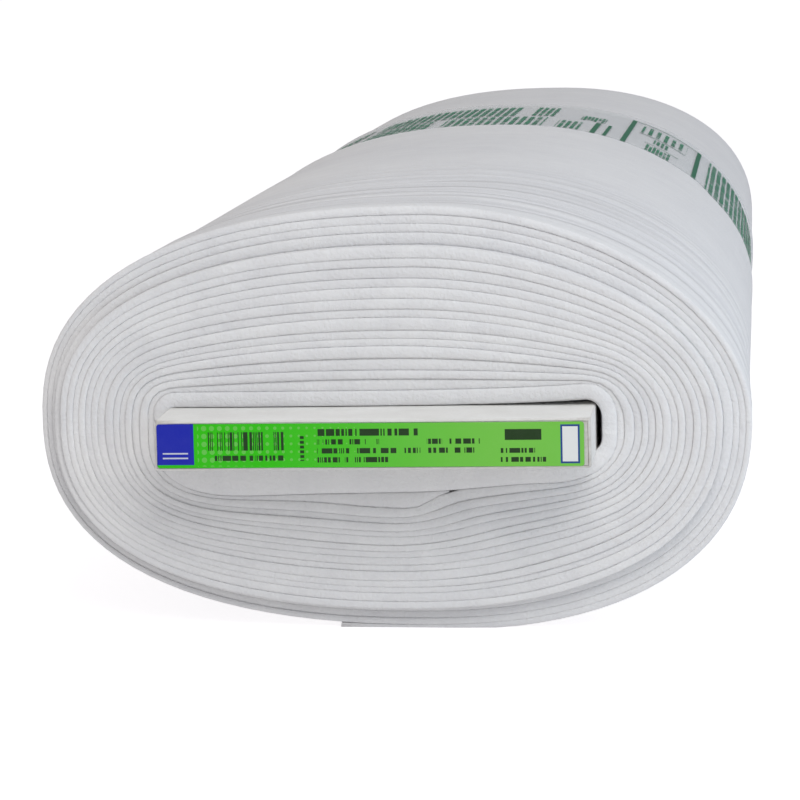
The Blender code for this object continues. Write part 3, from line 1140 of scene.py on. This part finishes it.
FILM_BARS = (
    (6, 118, 52, 56),
    (6, 118, 61, 64),
    (6, 234, 74, 78),
    (6, 234, 130, 134),
    (6, 8, 76, 132),
    (232, 234, 76, 132),
    (78, 80, 90, 118),
    (140, 142, 84, 122),
)


def film_place(share, along, side):
    """A point of the film: along is 0 at its front edge and 1 at its back edge."""
    run = TURNS - 1 + FILM_START + (1 - 2 * FILM_START) * share
    width = BAND_BACK - BAND_FRONT - 2 * FILM_INSET
    y = BAND_FRONT + FILM_INSET + width * along + film_shift(run)
    outer, way = outside_of(run, y)
    from_edge = min(along, 1 - along) * width
    curl = EDGE_CURL * math.exp(-from_edge / EDGE_CURL_WIDTH) * (0.7 + drift("film_curl", share))
    crumple = WRINKLE * max(noise.noise(Vector((share * 7, along * 9, 5.5))), 0)
    ripple = WRINKLE * 0.5 * max(noise.noise(Vector((share * 34, along * 5, 8.5))), 0)
    off = FILM_OFF + curl + crumple + ripple + FILM_THICKNESS * side
    place = outer + way * (off - crease(run, y - FRONT_FACE) - pressed_by_film(run, y))
    place.y = y
    place.z = max(place.z, FILM_CLEARANCE + FILM_THICKNESS * side)
    return place


film = flat_sheet(FILM_STEPS, FILM_ROWS)
film.verts.index_update()
around = [film_place(i / FILM_STEPS, 0.5, 1) for i in range(FILM_STEPS + 1)]
film_reached = running_length(around)
upper_half = [i for i in range(FILM_STEPS + 1) if around[i].z > CENTRE_Z]
top_step = min(upper_half, key=lambda i: abs(around[i].x - CENTRE_X))
film_flat = {}
for corner in film.verts:
    share = (corner.co.x + 1) / 2
    along = (corner.co.y + 1) / 2
    reached_here = film_reached[round(share * FILM_STEPS)] - film_reached[top_step]
    film_flat[corner.index] = (along * (BAND_BACK - BAND_FRONT), reached_here)
    corner.co = film_place(share, along, corner.co.z)
keep_flat(film, "flat_film", film_flat)
film_mesh = make_mesh("printed_film_band", film)

film_finish, tree, surface = new_finish("printed_film", 0.42)
flat_place = add_node(tree, "ShaderNodeUVMap", {}, uv_map="flat_film").outputs[0]
print_place = add_node(tree, "ShaderNodeMapping", {
    "Vector": flat_place, "Scale": (1 / MILLIMETRE, 1 / MILLIMETRE, 1)}).outputs[0]
ink = join_masks(tree, [
    print_rows(tree, print_place, block, 0.78, 5.0 + 2.0 * i, block["pitch"], block["fill"], PRINT_SOFT)
    for i, block in enumerate(FILM_BLOCKS)
])
solid = join_masks(tree, [print_patch(tree, print_place, bar, PRINT_SOFT) for bar in FILM_BARS])
fibres = use_group(tree, mottle, Place=print_place, Scale=0.03)
clear = blend_colours(tree, fibres["Shade"], FILM_TINT, FILM_CLEAR)
inked = blend_colours(tree, solid, FILM_GREEN, FILM_DARK_GREEN)
covered = calculate(tree, "MAXIMUM", times(tree, ink, 0.97), solid)
tree.links.new(blend_colours(tree, covered, clear, inked), surface.inputs["Base Color"])
opacity = spread(tree, covered, 0.0, 1.0, FILM_OPEN, FILM_INKED)
tree.links.new(opacity, surface.inputs["Alpha"])
raise_grain(tree, surface, fibres["Grain"], 0.10, 0.0006)
surface.inputs["Specular IOR Level"].default_value = 0.12
printed_band = set_object("printed_film_band", film_mesh, film_finish)
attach(printed_band, "root")
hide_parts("printed_band")

# The studio: a pale floor, soft light all round, two lamps and the photograph's camera.
# The camera sees the floor brighter than it lights the roll, so that it looks white.
FLOOR_SIZE = 25
FLOOR_GLOW = 0.38
FLOOR_GLOW_SEEN = 0.75
SKY_LEFT = (0.15, 0.125, 0.120)
SKY_RIGHT = (0.27, 0.34, 0.44)
SKY_TOP = (0.72, 0.705, 0.700)
CAMERA_PLACE = Vector((0.1679, -2.1495, 0.3346))
CAMERA_RIGHT = Vector((0.9946, 0.1025, -0.0145))
CAMERA_UP = Vector((0.0, 0.1399, 0.9902))
LENS = 152.2
SENSOR_WIDTH = 36

floor_shape = bmesh.new()
bmesh.ops.create_grid(floor_shape, x_segments=1, y_segments=1, size=FLOOR_SIZE)
floor_finish, tree, surface = new_finish("studio_floor", 0.9)
surface.inputs["Base Color"].default_value = (0.5, 0.5, 0.5, 1)
surface.inputs["Emission Color"].default_value = (1, 0.985, 1, 1)
seen = add_node(tree, "ShaderNodeLightPath", {}).outputs["Is Camera Ray"]
glow = spread(tree, seen, 0.0, 1.0, FLOOR_GLOW, FLOOR_GLOW_SEEN)
tree.links.new(glow, surface.inputs["Emission Strength"])
floor = set_object("studio_floor", make_mesh("studio_floor", floor_shape), floor_finish)

world = bpy.data.worlds.new("studio")
world.use_nodes = True
sky = world.node_tree
direction = add_node(sky, "ShaderNodeTexCoord", {}).outputs["Generated"]
ways = add_node(sky, "ShaderNodeSeparateXYZ", {0: direction}).outputs
rightness = spread(sky, ways[0], -1.0, 1.0)
height = spread(sky, ways[2], 0.0, 1.0)
horizon = blend_colours(sky, rightness, SKY_LEFT, SKY_RIGHT)
sky.links.new(blend_colours(sky, height, horizon, SKY_TOP), sky.nodes["Background"].inputs["Color"])
sky.nodes["Background"].inputs["Strength"].default_value = 1.0
bpy.context.scene.world = world
bpy.context.scene.view_settings.view_transform = "Standard"


def soft_light(name, place, aim, size, power, colour):
    """A square lamp that looks at a point."""
    lamp = bpy.data.lights.new(name, "AREA")
    lamp.size = size
    lamp.energy = power
    lamp.color = colour
    stand = bpy.data.objects.new(name, lamp)
    stand.location = place
    stand.rotation_euler = (Vector(aim) - Vector(place)).to_track_quat("-Z", "Y").to_euler()
    bpy.context.scene.collection.objects.link(stand)


soft_light("key_light", (0.60, -2.10, 1.80), (0.02, -0.45, 0.1), 1.3, 21, (1.0, 0.985, 0.965))
soft_light("cool_light", (1.7, -1.2, 0.9), (0, -0.4, 0.1), 1.0, 7, (0.60, 0.80, 1.0))

camera_data = bpy.data.cameras.new("camera")
camera_data.lens = LENS
camera_data.sensor_width = SENSOR_WIDTH
camera_data.clip_start = 0.01
camera = bpy.data.objects.new("camera", camera_data)
back = CAMERA_RIGHT.cross(CAMERA_UP).normalized()
up = back.cross(CAMERA_RIGHT).normalized()
camera_turn = Matrix((CAMERA_RIGHT, up, back)).transposed().to_4x4()
camera.matrix_world = Matrix.Translation(CAMERA_PLACE) @ camera_turn
bpy.context.scene.collection.objects.link(camera)
bpy.context.scene.camera = camera
